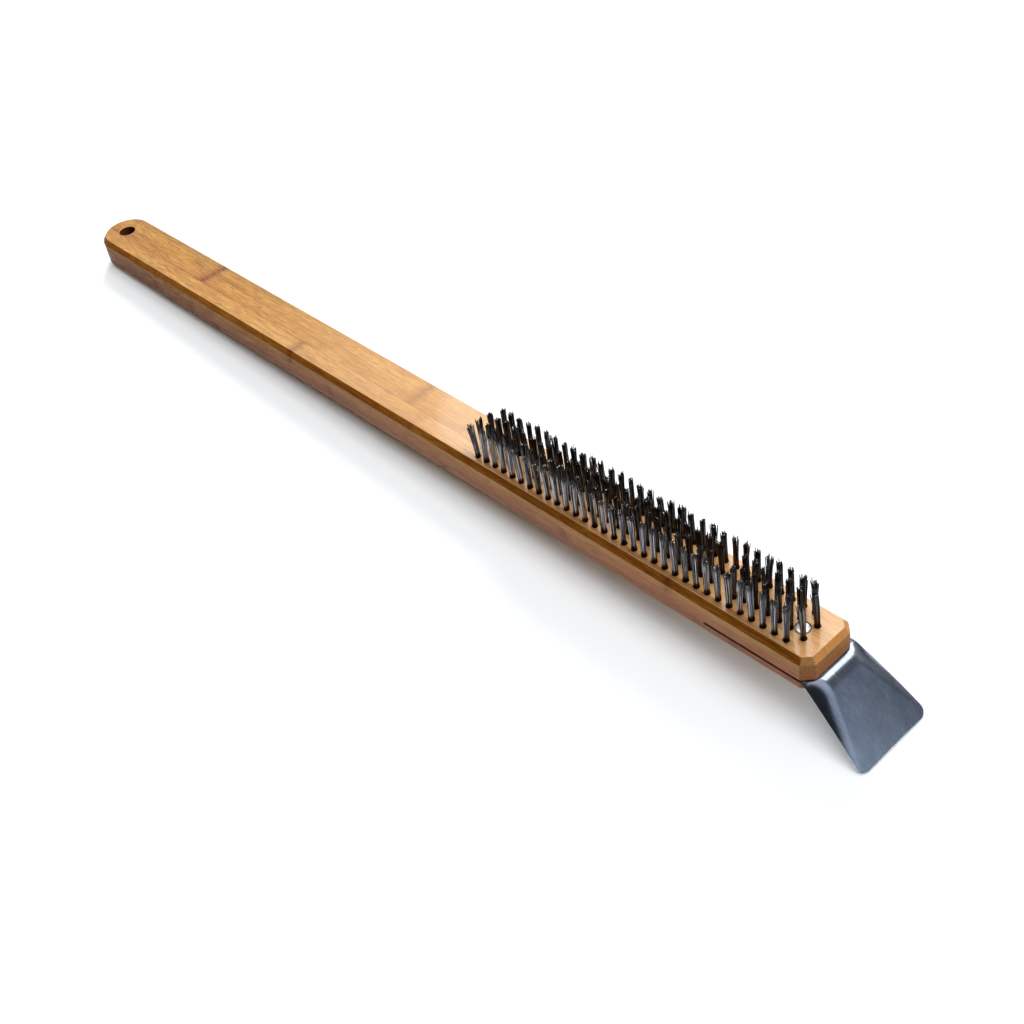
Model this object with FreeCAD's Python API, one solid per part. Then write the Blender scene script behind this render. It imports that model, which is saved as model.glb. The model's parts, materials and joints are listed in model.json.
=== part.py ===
import FreeCAD, Part
import math
import os

# Grill cleaning brush: a laminated bamboo bar with wire tufts and a riveted scraper.
# Frame: origin on the axis of the hanging hole at half the bar's thickness,
# +X along the bar towards the scraper, +Z out of the bristle face. Millimetres.
# "Front" is the +X end, "rear" the -X end; "near" is the -Y side, "far" the +Y side.

os.makedirs("parts", exist_ok=True)
V = FreeCAD.Vector
UP = V(0, 0, 1)

# ---------------------------------------------------------------- shared dimensions
# bar
head_end_x = 626.0      # hole axis to the front end face
half_w = 18.25          # half the bar's width, and the radius of the round rear end
half_t = 11.1           # half the bar's thickness
bevel_in = 2.6          # bevel, measured across the face
bevel_h = 3.45          # bevel, measured down the side
corner_clip = 5.3       # leg of the 45 degree clip at the two front corners
hang_hole_r = 5.5
hang_hole_ease = 0.75   # eased rim of the hanging hole

# lamination joints
z_upper_joint = 2.6     # between upper and middle ply
z_lower_joint = -3.9    # between middle and lower ply
y_upper_joint = -5.0    # lengthwise joint in each ply
y_middle_joint = 7.2
y_lower_joint = -7.6

# saw slot for the tang, in the middle ply, open at the front
slot_x0 = 561.0
slot_h = 1.5

# rivets: flush heads, the upper half's shank inside the lower half's barrel
rivet_x = {"front": 608.6, "rear": 566.0}
rivet_y = -0.6
rivet_head_r = 3.75
rivet_head_t = 1.35
rivet_crown = 0.25      # rise of the head above the bar's face
counterbore_r = 4.3
counterbore_depth = 1.5
barrel_r = 2.5
barrel_hole_r = barrel_r + 0.05     # through the bar
tang_hole_r = barrel_r + 0.1        # through the scraper's tang
barrel_bore_r = 1.8
shank_r = barrel_bore_r - 0.02
barrel_end_gap = 1.2    # barrel's rim to the upper head
barrel_floor_t = 1.5    # solid part of the barrel above the lower head
shank_end_gap = 4.0     # shank's tip to the lower head

# tuft holes and anchors
tuft_hole_r = 1.8
tuft_hole_depth = 9.6
hole_floor_z = half_t - tuft_hole_depth
anchor_len = 5.0        # along Y
anchor_w = 0.4          # along X
anchor_h = 2.2
anchor_z0 = hole_floor_z + 1.0
anchor_z1 = anchor_z0 + anchor_h


# ---------------------------------------------------------------- helpers
def box(x0, x1, y0, y1, z0, z1):
    return Part.makeBox(x1 - x0, y1 - y0, z1 - z0, V(x0, y0, z0))


def cylinder(radius, x, y, z0, z1):
    return Part.makeCylinder(radius, z1 - z0, V(x, y, z0), UP)


def mirror_y(point):
    return V(point.x, -point.y, point.z)


def closed_face(points):
    return Part.Face(Part.makePolygon(points + [points[0]]))


def one_solid(shape, name):
    solids = shape.Solids
    if len(solids) != 1:
        raise RuntimeError("%s is %d solids" % (name, len(solids)))
    return solids[0]


def save(shape, name):
    if not shape.isValid():
        raise RuntimeError(name + " is not valid")
    shape.exportStep("parts/%s.step" % name)


def save_solid(shape, name):
    save(one_solid(shape, name), name)


# ---------------------------------------------------------------- tuft places
tuft_pitch = 7.0
tufts_per_row = 32
# row: (y, x of the front tuft, height of the rear tuft, height of the front tuft)
tuft_rows = {
    1: (-11.5, 607.5, 20.8, 22.4),
    2: (-4.1, 604.0, 19.6, 21.2),
    3: (3.7, 604.0, 19.0, 20.6),
    4: (10.8, 607.1, 18.8, 20.2),
}
# the two inner rows make room for the rear rivet
dropped_index = 6       # tuft left out
spread_index = 5        # tuft moved aside
spread_x = 570.4
spread_y = {2: -5.6, 3: 4.7}

# two tufts in front of the rows
end_pair_x = 613.1
end_pair_y = [-5.7, 4.6]
end_pair_height = 22.2


def row_places(row):
    """(x, y, height above the bar) of each tuft, front to rear."""
    row_y, front_x, rear_height, front_height = tuft_rows[row]
    places = []
    for i in range(tufts_per_row):
        x, y = front_x - tuft_pitch * i, row_y
        if row in spread_y:
            if i == dropped_index:
                continue
            if i == spread_index:
                x, y = spread_x, spread_y[row]
        frontness = 1.0 - i / (tufts_per_row - 1.0)
        places.append((x, y, rear_height + (front_height - rear_height) * frontness))
    return places


tuft_groups = {"row_%d" % row: row_places(row) for row in tuft_rows}
tuft_groups["end_pair"] = [(end_pair_x, y, end_pair_height) for y in end_pair_y]


def anchor_block(x, y):
    return box(x - anchor_w / 2, x + anchor_w / 2,
               y - anchor_len / 2, y + anchor_len / 2, anchor_z0, anchor_z1)


# ---------------------------------------------------------------- bar
def bar_outline(inset, z):
    """Plan outline of the bar, moved in by inset, at height z."""
    side_y = half_w - inset
    end_x = head_end_x - inset
    # x + y is constant along the clipped corner
    clip_sum = head_end_x + half_w - corner_clip - inset * math.sqrt(2.0)
    points = [
        V(0, -side_y, z),
        V(clip_sum - side_y, -side_y, z),
        V(end_x, -(clip_sum - end_x), z),
        V(end_x, clip_sum - end_x, z),
        V(clip_sum - side_y, side_y, z),
        V(0, side_y, z),
    ]
    edges = [Part.makeLine(p, q) for p, q in zip(points[:-1], points[1:])]
    edges.append(Part.Arc(V(0, side_y, z), V(-side_y, 0, z), V(0, -side_y, z)).toShape())
    return Part.Wire(edges)


def make_bar():
    """Whole bar with its hanging hole and rivet holes, before it is split into strips."""
    side_z = half_t - bevel_h
    lower_bevel = Part.makeLoft(
        [bar_outline(bevel_in, -half_t), bar_outline(0, -side_z)], True, True)
    upper_bevel = Part.makeLoft(
        [bar_outline(0, side_z), bar_outline(bevel_in, half_t)], True, True)
    core = Part.Face(bar_outline(0, -side_z)).extrude(V(0, 0, 2 * side_z))
    bar = core.fuse([lower_bevel, upper_bevel]).removeSplitter()

    cutters = [cylinder(hang_hole_r, 0, 0, -half_t - 5, half_t + 5)]
    overrun = 1.0       # the easing cones run past the faces
    for side in (1, -1):
        cutters.append(Part.makeCone(
            hang_hole_r, hang_hole_r + hang_hole_ease + overrun, hang_hole_ease + overrun,
            V(0, 0, side * (half_t - hang_hole_ease)), V(0, 0, side)))
    for x in rivet_x.values():
        cutters += [
            cylinder(barrel_hole_r, x, rivet_y, -half_t - 1, half_t + 1),
            cylinder(counterbore_r, x, rivet_y, half_t - counterbore_depth, half_t + 1),
            cylinder(counterbore_r, x, rivet_y, -half_t - 1, -half_t + counterbore_depth),
        ]
    return bar.cut(cutters)


# planes that clear the bar on every side
clear_x0, clear_x1 = -60.0, 700.0
clear_y = 40.0
clear_z = 30.0
# ply: (y of its lengthwise joint, z0, z1)
plies = {
    "upper": (y_upper_joint, z_upper_joint, clear_z),
    "middle": (y_middle_joint, z_lower_joint, z_upper_joint),
    "lower": (y_lower_joint, -clear_z, z_lower_joint),
}


def tuft_cutters(y0, y1, z0, z1):
    """Tuft holes and anchor slits that reach into a strip."""
    cutters = []
    for places in tuft_groups.values():
        for x, y, _ in places:
            if y + anchor_len / 2 > y0 and y - anchor_len / 2 < y1:
                cutters.append(cylinder(tuft_hole_r, x, y, hole_floor_z, half_t + 1))
                if anchor_z0 < z1 and anchor_z1 > z0:
                    cutters.append(anchor_block(x, y))
    return cutters


def make_strip(bar, ply, y0, y1, z0, z1):
    strip = bar.common(box(clear_x0, clear_x1, y0, y1, z0, z1))
    if ply == "lower":
        return strip
    cutters = []
    if ply == "middle":
        cutters.append(box(slot_x0, clear_x1, -clear_y, clear_y,
                           z_lower_joint - 1.0, z_lower_joint + slot_h))
    return strip.cut(cutters + tuft_cutters(y0, y1, z0, z1))


whole_bar = make_bar()
for ply, (joint_y, z0, z1) in plies.items():
    for side, y0, y1 in (("near", -clear_y, joint_y), ("far", joint_y, clear_y)):
        save_solid(make_strip(whole_bar, ply, y0, y1, z0, z1), "%s_%s_strip" % (ply, side))

# ---------------------------------------------------------------- scraper
# a flat tang in the slot, and a blade folded down from it; two corner facets
# (the wings) lie between slanting bends on either side of the main bend
sheet_t = 1.2
tang_z = z_lower_joint + sheet_t    # upper face of the tang
tang_x0 = 561.4
tang_half_w = 16.8
tang_corner_r = 3.0
shoulder_x = 620.9
neck_x = 621.8
neck_half_w = 18.5
bend_x = 630.2          # where the blade turns down
edge_x = 662.6          # scraping edge
edge_z = -32.9
edge_half_w = 25.6
edge_corner_r = 6.0
wing_bend_y = 11.5      # end of the straight part of the bend
wing_back_x = 622.0     # where the slanting bends reach the sides of the tang
wing_back_y = 18.4
wing_end_x = 652.0      # where the slanting bends run out at the sides of the blade
wing_end_y = 23.0
bend_r = 9.5            # outside radius of the main bend
wing_r = 5.0            # outside radius of the slanting bends

slope = math.atan2(tang_z - edge_z, edge_x - bend_x)    # blade below horizontal
blade_normal = V(math.sin(slope), 0, math.cos(slope))


def sheet_planes():
    """(point, normal) of the sheet's upper faces: tang, blade, far wing, near wing."""
    bend_end = V(bend_x, wing_bend_y, tang_z)
    wing_end = V(wing_end_x, wing_end_y, tang_z - (wing_end_x - bend_x) * math.tan(slope))
    wing_back = V(wing_back_x, wing_back_y, tang_z)
    wing_normal = (wing_end - bend_end).cross(wing_back - bend_end)
    wing_normal.normalize()
    if wing_normal.z < 0:
        wing_normal = wing_normal * -1.0
    return [
        (bend_end, UP),
        (bend_end, blade_normal),
        (bend_end, wing_normal),
        (mirror_y(bend_end), mirror_y(wing_normal)),
    ]


planes = sheet_planes()
# folds, as pairs of indices into planes
main_fold = [(0, 1)]
wing_folds = [(0, 2), (0, 3), (1, 2), (1, 3)]


def scraper_space(x0):
    """Block around the scraper, in front of x0."""
    return box(x0, 700, -60, 60, -90, 20)


def below_plane(point, normal, size=400.0):
    """Large block whose upper face lies in the plane."""
    block = Part.makeBox(size, size, size, V(-size / 2, -size / 2, -size))
    block.Placement = FreeCAD.Placement(point, FreeCAD.Rotation(UP, normal))
    return block


def fold_edges(hull, depth, folds):
    """Edges of hull that lie on both planes of one of the folds."""
    found = []
    for edge in hull.Edges:
        middle = edge.valueAt((edge.FirstParameter + edge.LastParameter) / 2.0)
        touching = tuple(i for i, (point, normal) in enumerate(planes)
                         if abs((middle - (point - normal * depth)).dot(normal)) < 1e-4)
        if touching in folds:
            found.append(edge)
    return found


def hull_below(depth):
    """Block bounded above by the sheet's planes, lowered by depth, with rounded folds."""
    hull = scraper_space(540)
    for point, normal in planes:
        hull = hull.common(below_plane(point - normal * depth, normal))
    hull = hull.removeSplitter()
    hull = hull.makeFillet(bend_r - depth, fold_edges(hull, depth, main_fold))
    return hull.makeFillet(wing_r - depth, fold_edges(hull, depth, wing_folds))


def blade_half_width(x):
    """The sides widen evenly from the neck to the scraping edge."""
    return neck_half_w + (edge_half_w - neck_half_w) / (edge_x - neck_x) * (x - neck_x)


def upper_outline_prism():
    """Vertical prism on the plan outline of the tang and the blade down to wing_end_x."""
    far_side = [
        V(tang_x0, tang_half_w, 0),
        V(shoulder_x, tang_half_w, 0),
        V(neck_x, neck_half_w, 0),
        V(wing_end_x, blade_half_width(wing_end_x), 0),
    ]
    height = 200
    plan = closed_face(far_side + [mirror_y(point) for point in reversed(far_side)])
    prism = plan.extrude(V(0, 0, height))
    prism.translate(V(0, 0, -height / 2))
    rear_corners = [edge for edge in prism.Edges if abs(edge.Length - height) < 1e-6
                    and abs(edge.Vertexes[0].X - tang_x0) < 1e-6]
    return prism.makeFillet(tang_corner_r, rear_corners)


def lower_outline_prism():
    """Prism square to the blade's face, on its outline from wing_end_x to the edge."""
    to_near = V(0, -1, 0)
    up_blade = V(-math.cos(slope), 0, math.sin(slope))
    corner = V(edge_x, edge_half_w, edge_z)
    side_top = (V(edge_x, blade_half_width(wing_end_x), edge_z)
                + up_blade * ((edge_x - wing_end_x) / math.cos(slope)))
    up_side = side_top - corner
    up_side.normalize()

    # round corner tangent to the side and the scraping edge
    half_angle = math.acos(up_side.dot(to_near)) / 2.0
    cut_back = edge_corner_r / math.tan(half_angle)
    arc_side = corner + up_side * cut_back
    arc_edge = corner + to_near * cut_back
    bisector = up_side + to_near
    bisector.normalize()
    arc_middle = corner + bisector * (edge_corner_r / math.sin(half_angle) - edge_corner_r)

    outline = Part.Wire([
        Part.makeLine(side_top, arc_side),
        Part.Arc(arc_side, arc_middle, arc_edge).toShape(),
        Part.makeLine(arc_edge, mirror_y(arc_edge)),
        Part.Arc(mirror_y(arc_edge), mirror_y(arc_middle), mirror_y(arc_side)).toShape(),
        Part.makeLine(mirror_y(arc_side), mirror_y(side_top)),
        Part.makeLine(mirror_y(side_top), side_top),
    ])
    prism = Part.Face(outline).extrude(blade_normal * 12.0)
    prism.translate(blade_normal * -6.0)
    return prism


def make_scraper():
    sheet = hull_below(0.0).cut(hull_below(sheet_t))
    upper_part = sheet.common(upper_outline_prism())
    lower_part = sheet.common(lower_outline_prism()).common(scraper_space(wing_end_x))
    scraper = upper_part.fuse(lower_part).removeSplitter()
    return scraper.cut([cylinder(tang_hole_r, x, rivet_y, -20, 20) for x in rivet_x.values()])


save_solid(make_scraper(), "scraper_blade")

# ---------------------------------------------------------------- rivets
head_seat_z = half_t - rivet_head_t     # inner face of the upper head


def rivet_head(x, side):
    """Flush head with a slight crown; side is +1 for the upper one."""
    crown_ball_r = (rivet_head_r ** 2 + rivet_crown ** 2) / (2 * rivet_crown)
    z0, z1 = sorted((side * head_seat_z, side * (half_t + rivet_crown)))
    ball_z = side * (half_t + rivet_crown - crown_ball_r)
    ball = Part.makeSphere(crown_ball_r, V(x, rivet_y, ball_z))
    return cylinder(rivet_head_r, x, rivet_y, z0, z1).common(ball)


def rivet_upper_half(x):
    shank = cylinder(shank_r, x, rivet_y, -head_seat_z + shank_end_gap, head_seat_z)
    return rivet_head(x, 1).fuse(shank).removeSplitter()


def rivet_lower_half(x):
    barrel = cylinder(barrel_r, x, rivet_y, -head_seat_z, head_seat_z - barrel_end_gap)
    bore = cylinder(barrel_bore_r, x, rivet_y, -head_seat_z + barrel_floor_t, half_t)
    return rivet_head(x, -1).fuse(barrel).removeSplitter().cut(bore)


for place, x in rivet_x.items():
    save_solid(rivet_upper_half(x), place + "_rivet_upper_half")
    save_solid(rivet_lower_half(x), place + "_rivet_lower_half")

# ---------------------------------------------------------------- tufts and anchors
tuft_r_low = 1.65       # inside the hole
tuft_r_top = 2.0
tuft_end_in = 0.5       # narrowing of both ends
tuft_floor_gap = 0.05


def make_tuft(x, y, height):
    """Tuft that flares above the bar, slit for its anchor."""
    bottom_z = hole_floor_z + tuft_floor_gap
    top_z = half_t + height
    profile = [
        V(0, 0, bottom_z),
        V(tuft_r_low - tuft_end_in, 0, bottom_z),
        V(tuft_r_low, 0, hole_floor_z + 0.6),
        V(tuft_r_low, 0, half_t),
        V(tuft_r_top, 0, top_z - 0.8),
        V(tuft_r_top - tuft_end_in, 0, top_z),
        V(0, 0, top_z),
    ]
    tuft = closed_face(profile).revolve(V(0, 0, 0), UP, 360)
    tuft.translate(V(x, y, 0))
    return one_solid(tuft.cut(anchor_block(x, y)), "tuft")


for group, places in tuft_groups.items():
    save(Part.makeCompound([make_tuft(*place) for place in places]), "bristle_" + group)
    save(Part.makeCompound([anchor_block(x, y) for x, y, _ in places]), "anchors_" + group)
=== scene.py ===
import json
import math
import random

import bmesh
import bpy
import numpy as np
from mathutils import Matrix, Vector

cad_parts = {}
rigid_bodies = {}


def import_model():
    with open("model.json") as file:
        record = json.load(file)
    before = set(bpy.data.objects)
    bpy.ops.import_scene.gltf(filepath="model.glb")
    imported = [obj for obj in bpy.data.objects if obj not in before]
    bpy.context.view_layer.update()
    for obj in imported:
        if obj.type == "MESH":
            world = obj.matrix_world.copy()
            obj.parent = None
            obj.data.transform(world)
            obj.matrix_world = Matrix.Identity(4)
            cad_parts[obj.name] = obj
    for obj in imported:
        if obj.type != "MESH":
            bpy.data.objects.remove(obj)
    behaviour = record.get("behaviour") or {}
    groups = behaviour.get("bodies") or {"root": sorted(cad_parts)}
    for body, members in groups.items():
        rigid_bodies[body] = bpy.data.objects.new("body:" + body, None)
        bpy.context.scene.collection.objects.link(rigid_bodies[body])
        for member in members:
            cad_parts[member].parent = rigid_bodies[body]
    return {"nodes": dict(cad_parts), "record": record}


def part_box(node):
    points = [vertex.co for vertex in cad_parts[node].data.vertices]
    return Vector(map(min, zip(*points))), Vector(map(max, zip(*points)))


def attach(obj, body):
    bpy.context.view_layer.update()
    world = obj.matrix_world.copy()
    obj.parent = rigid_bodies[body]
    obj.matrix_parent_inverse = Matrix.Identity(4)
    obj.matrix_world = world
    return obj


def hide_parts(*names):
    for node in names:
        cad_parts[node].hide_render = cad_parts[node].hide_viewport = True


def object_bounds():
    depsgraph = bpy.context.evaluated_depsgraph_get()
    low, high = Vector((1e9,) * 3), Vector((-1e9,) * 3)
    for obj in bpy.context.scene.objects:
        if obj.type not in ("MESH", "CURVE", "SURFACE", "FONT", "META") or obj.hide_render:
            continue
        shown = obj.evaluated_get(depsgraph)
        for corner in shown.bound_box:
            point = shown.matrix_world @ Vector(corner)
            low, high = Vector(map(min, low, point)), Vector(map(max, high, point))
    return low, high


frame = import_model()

MM = 0.001
scene = bpy.context.scene
cad_lo, cad_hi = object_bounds()


# ------------------------------------------------------------------ small helpers
def cad(node):
    """Vertices of a CAD node, in millimetres."""
    me = frame["nodes"][node].data
    a = np.empty(len(me.vertices) * 3, np.float32)
    me.vertices.foreach_get("co", a)
    return a.reshape(-1, 3).astype(float) * 1000.0


def make(name, verts, faces):
    me = bpy.data.meshes.new(name)
    me.from_pydata([(float(x) * MM, float(y) * MM, float(z) * MM) for x, y, z in verts], [], faces)
    me.update()
    ob = bpy.data.objects.new(name, me)
    scene.collection.objects.link(ob)
    return ob


def settle(ob):
    """Replaces ob's mesh by the result of its modifiers."""
    dg = bpy.context.evaluated_depsgraph_get()
    me = bpy.data.meshes.new_from_object(ob.evaluated_get(dg))
    old = ob.data
    ob.modifiers.clear()
    ob.data = me
    me.name = ob.name
    bpy.data.meshes.remove(old)


def boolean(ob, tool, operation):
    m = ob.modifiers.new("cut", "BOOLEAN")
    m.operation = operation
    m.object = tool
    m.solver = "EXACT"
    settle(ob)


def drop(*obs):
    for o in obs:
        me = o.data
        bpy.data.objects.remove(o)
        bpy.data.meshes.remove(me)


def shade(ob, angle=35.0, weighted=True):
    me = ob.data
    me.polygons.foreach_set("use_smooth", [True] * len(me.polygons))
    me.set_sharp_from_angle(angle=math.radians(angle))
    me.update()
    if weighted:
        m = ob.modifiers.new("normals", "WEIGHTED_NORMAL")
        m.mode = "FACE_AREA"
        m.weight = 80
        m.keep_sharp = True


def tidy(ob, dist=0.002):
    bm = bmesh.new()
    bm.from_mesh(ob.data)
    bmesh.ops.remove_doubles(bm, verts=bm.verts, dist=dist * MM)
    bmesh.ops.dissolve_degenerate(bm, edges=bm.edges, dist=dist * MM)
    bmesh.ops.recalc_face_normals(bm, faces=bm.faces)
    bm.to_mesh(ob.data)
    bm.free()


def block(name, x0, x1, y0, y1, z0, z1):
    v = [(x, y, z) for x in (x0, x1) for y in (y0, y1) for z in (z0, z1)]
    f = [(0, 1, 3, 2), (4, 6, 7, 5), (0, 4, 5, 1), (2, 3, 7, 6), (0, 2, 6, 4), (1, 5, 7, 3)]
    return make(name, v, f)


def lathe(profile, seg, cx, cy, turn=0.0):
    """Closed solid of revolution about a vertical axis. The profile runs from the lower axis point to the upper one."""
    verts, rings = [], []
    for r, z in profile:
        if r < 1e-9:
            rings.append([len(verts)])
            verts.append((cx, cy, z))
        else:
            base = len(verts)
            for k in range(seg):
                a = turn + 2 * math.pi * k / seg
                verts.append((cx + r * math.cos(a), cy + r * math.sin(a), z))
            rings.append(list(range(base, base + seg)))
    faces = []
    for lo, hi in zip(rings[:-1], rings[1:]):
        for k in range(seg):
            n = (k + 1) % seg
            if len(lo) == 1 and len(hi) == 1:
                continue
            if len(lo) == 1:
                faces.append((lo[0], hi[n], hi[k]))
            elif len(hi) == 1:
                faces.append((lo[k], lo[n], hi[0]))
            else:
                faces.append((lo[k], lo[n], hi[n], hi[k]))
    return verts, faces


def join(parts):
    verts, faces = [], []
    for v, f in parts:
        base = len(verts)
        verts += v
        faces += [tuple(i + base for i in face) for face in f]
    return verts, faces


def fillet(points, radii, seg, closed=True):
    """2-D polyline with its corners rounded."""
    out, n = [], len(points)
    for i, p in enumerate(points):
        r = radii[i]
        if r <= 0 or (not closed and i in (0, n - 1)):
            out.append(tuple(p))
            continue
        p = Vector(p)
        a = (Vector(points[i - 1]) - p).normalized()
        b = (Vector(points[(i + 1) % n]) - p).normalized()
        ang = a.angle(b)
        t = r / math.tan(ang / 2)
        centre = p + (a + b).normalized() * (r / math.sin(ang / 2))
        s, e = p + a * t - centre, p + b * t - centre
        a0, a1 = math.atan2(s.y, s.x), math.atan2(e.y, e.x)
        d = (a1 - a0 + math.pi) % (2 * math.pi) - math.pi
        for k in range(seg + 1):
            w = a0 + d * k / seg
            out.append((centre.x + r * math.cos(w), centre.y + r * math.sin(w)))
    return out


# ------------------------------------------------------------------ measures from the frame
STRIPS = ["upper_near_strip", "upper_far_strip", "middle_near_strip", "middle_far_strip", "lower_near_strip", "lower_far_strip"]
wood = np.vstack([cad(n) for n in STRIPS])
(wx0, wy0, wz0), (wx1, wy1, wz1) = wood.min(0), wood.max(0)
HALF_W = (wy1 - wy0) / 2
HALF_T = (wz1 - wz0) / 2
HEAD_X = wx1
BEVEL_IN = wy1 - wood[wood[:, 2] > wz1 - 0.02][:, 1].max()
BEVEL_H = wz1 - wood[wood[:, 1] > wy1 - 0.02][:, 2].max()
CLIP = HALF_W - wood[wood[:, 0] > wx1 - 0.02][:, 1].max()
near_lo, near_hi = [v * 1000 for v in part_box("upper_near_strip")]
mid_lo, mid_hi = [v * 1000 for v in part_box("middle_near_strip")]
low_lo, low_hi = [v * 1000 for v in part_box("lower_near_strip")]
Z_UP, Z_LOW = near_lo.z, low_hi.z
Y_UP, Y_MID, Y_LOW = near_hi.y, mid_hi.y, low_hi.y
HOLE_R = frame["record"]["mounts"][0]["dims"]["r_mm"]
blade_lo, blade_hi = [v * 1000 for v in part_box("scraper_blade")]
SLOT_X, SLOT_H = blade_lo.x - 0.4, 1.5
rivets = {}
for place in ("front", "rear"):
    lo, hi = [v * 1000 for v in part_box(place + "_rivet_upper_half")]
    rivets[place] = ((lo.x + hi.x) / 2, (lo.y + hi.y) / 2, (hi.x - lo.x) / 2, hi.z)


def tufts_of(node, axis=0):
    """Centre, foot and top of each tuft in a CAD node."""
    v = cad(node)
    v = v[np.argsort(v[:, axis])]
    cuts = np.where(np.diff(v[:, axis]) > 1.0)[0] + 1
    out = []
    for g in np.split(v, cuts):
        lo, hi = g.min(0), g.max(0)
        out.append(((lo[0] + hi[0]) / 2, (lo[1] + hi[1]) / 2, lo[2], hi[2]))
    return out


ROWS = {n: tufts_of(n) for n in ("bristle_row_1", "bristle_row_2", "bristle_row_3", "bristle_row_4")}
ROWS["bristle_end_pair"] = tufts_of("bristle_end_pair", axis=1)


# ------------------------------------------------------------------ node tree helper
class Tree:
    def __init__(self, name):
        self.mat = bpy.data.materials.new(name)
        self.mat.use_nodes = True
        self.nodes = self.mat.node_tree.nodes
        self.links = self.mat.node_tree.links
        self.nodes.clear()

    def add(self, kind, **props):
        n = self.nodes.new(kind)
        for k, v in props.items():
            setattr(n, k, v)
        return n

    def put(self, socket, value):
        if isinstance(value, bpy.types.NodeSocket):
            self.links.new(value, socket)
        elif value is not None:
            if hasattr(socket.default_value, "__len__") and not hasattr(value, "__len__"):
                value = [value] * len(socket.default_value)
            if hasattr(value, "__len__") and len(socket.default_value) == 4 and len(value) == 3:
                value = list(value) + [1.0]
            socket.default_value = value

    def math(self, op, a, b=None, c=None, clamp=False):
        n = self.add("ShaderNodeMath", operation=op, use_clamp=clamp)
        for s, v in zip(n.inputs, (a, b, c)):
            self.put(s, v)
        return n.outputs[0]

    def mul(self, a, b):
        return self.math("MULTIPLY", a, b)

    def plus(self, a, b):
        return self.math("ADD", a, b)

    def vmath(self, op, a, b=None, scale=None):
        n = self.add("ShaderNodeVectorMath", operation=op)
        self.put(n.inputs[0], a)
        if b is not None:
            self.put(n.inputs[1], b)
        if scale is not None:
            self.put(n.inputs["Scale"], scale)
        return n.outputs["Value"] if op in ("LENGTH", "DOT_PRODUCT", "DISTANCE") else n.outputs[0]

    def vec(self, x, y, z):
        n = self.add("ShaderNodeCombineXYZ")
        for s, v in zip(n.inputs, (x, y, z)):
            self.put(s, v)
        return n.outputs[0]

    def sep(self, v):
        n = self.add("ShaderNodeSeparateXYZ")
        self.put(n.inputs[0], v)
        return n.outputs[0], n.outputs[1], n.outputs[2]

    def noise(self, v, scale=1.0, detail=2.0, rough=0.5, dist=0.0):
        n = self.add("ShaderNodeTexNoise")
        self.put(n.inputs["Vector"], v)
        self.put(n.inputs["Scale"], scale)
        self.put(n.inputs["Detail"], detail)
        self.put(n.inputs["Roughness"], rough)
        self.put(n.inputs["Distortion"], dist)
        return n.outputs[0]

    def voronoi(self, v, scale=1.0, feature="F1", rand=1.0):
        n = self.add("ShaderNodeTexVoronoi", feature=feature)
        self.put(n.inputs["Vector"], v)
        self.put(n.inputs["Scale"], scale)
        self.put(n.inputs["Randomness"], rand)
        return n

    def remap(self, v, a, b, c=0.0, d=1.0, kind="SMOOTHSTEP"):
        n = self.add("ShaderNodeMapRange", interpolation_type=kind)
        for s, x in zip(n.inputs, (v, a, b, c, d)):
            self.put(s, x)
        return n.outputs[0]

    def mix(self, fac, a, b, blend="MIX"):
        n = self.add("ShaderNodeMix", data_type="RGBA", blend_type=blend)
        self.put(n.inputs[0], fac)
        self.put(n.inputs[6], a)
        self.put(n.inputs[7], b)
        return n.outputs[2]

    def ramp(self, fac, stops):
        n = self.add("ShaderNodeValToRGB")
        e = n.color_ramp.elements
        while len(e) < len(stops):
            e.new(0.5)
        for el, (pos, col) in zip(e, stops):
            el.position = pos
            el.color = list(col) + [1.0]
        self.put(n.inputs[0], fac)
        return n.outputs[0]

    def bump(self, height, strength, dist, normal=None):
        n = self.add("ShaderNodeBump")
        self.put(n.inputs["Height"], height)
        self.put(n.inputs["Strength"], strength)
        self.put(n.inputs["Distance"], dist)
        if normal is not None:
            self.put(n.inputs["Normal"], normal)
        return n.outputs[0]

    def mm(self):
        """Place in the row frame, in millimetres."""
        c = self.add("ShaderNodeTexCoord").outputs["Object"]
        return self.vmath("SCALE", c, scale=1000.0)

    def gauss(self, v, width):
        """exp(-(v/width)^2)"""
        t = self.mul(v, 1.0 / width)
        return self.math("EXPONENT", self.mul(self.mul(t, t), -1.0))

    def surface(self, **inputs):
        b = self.add("ShaderNodeBsdfPrincipled")
        for k, v in inputs.items():
            self.put(b.inputs[k.replace("_", " ")], v)
        out = self.add("ShaderNodeOutputMaterial")
        self.links.new(b.outputs[0], out.inputs[0])
        return self.mat


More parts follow.
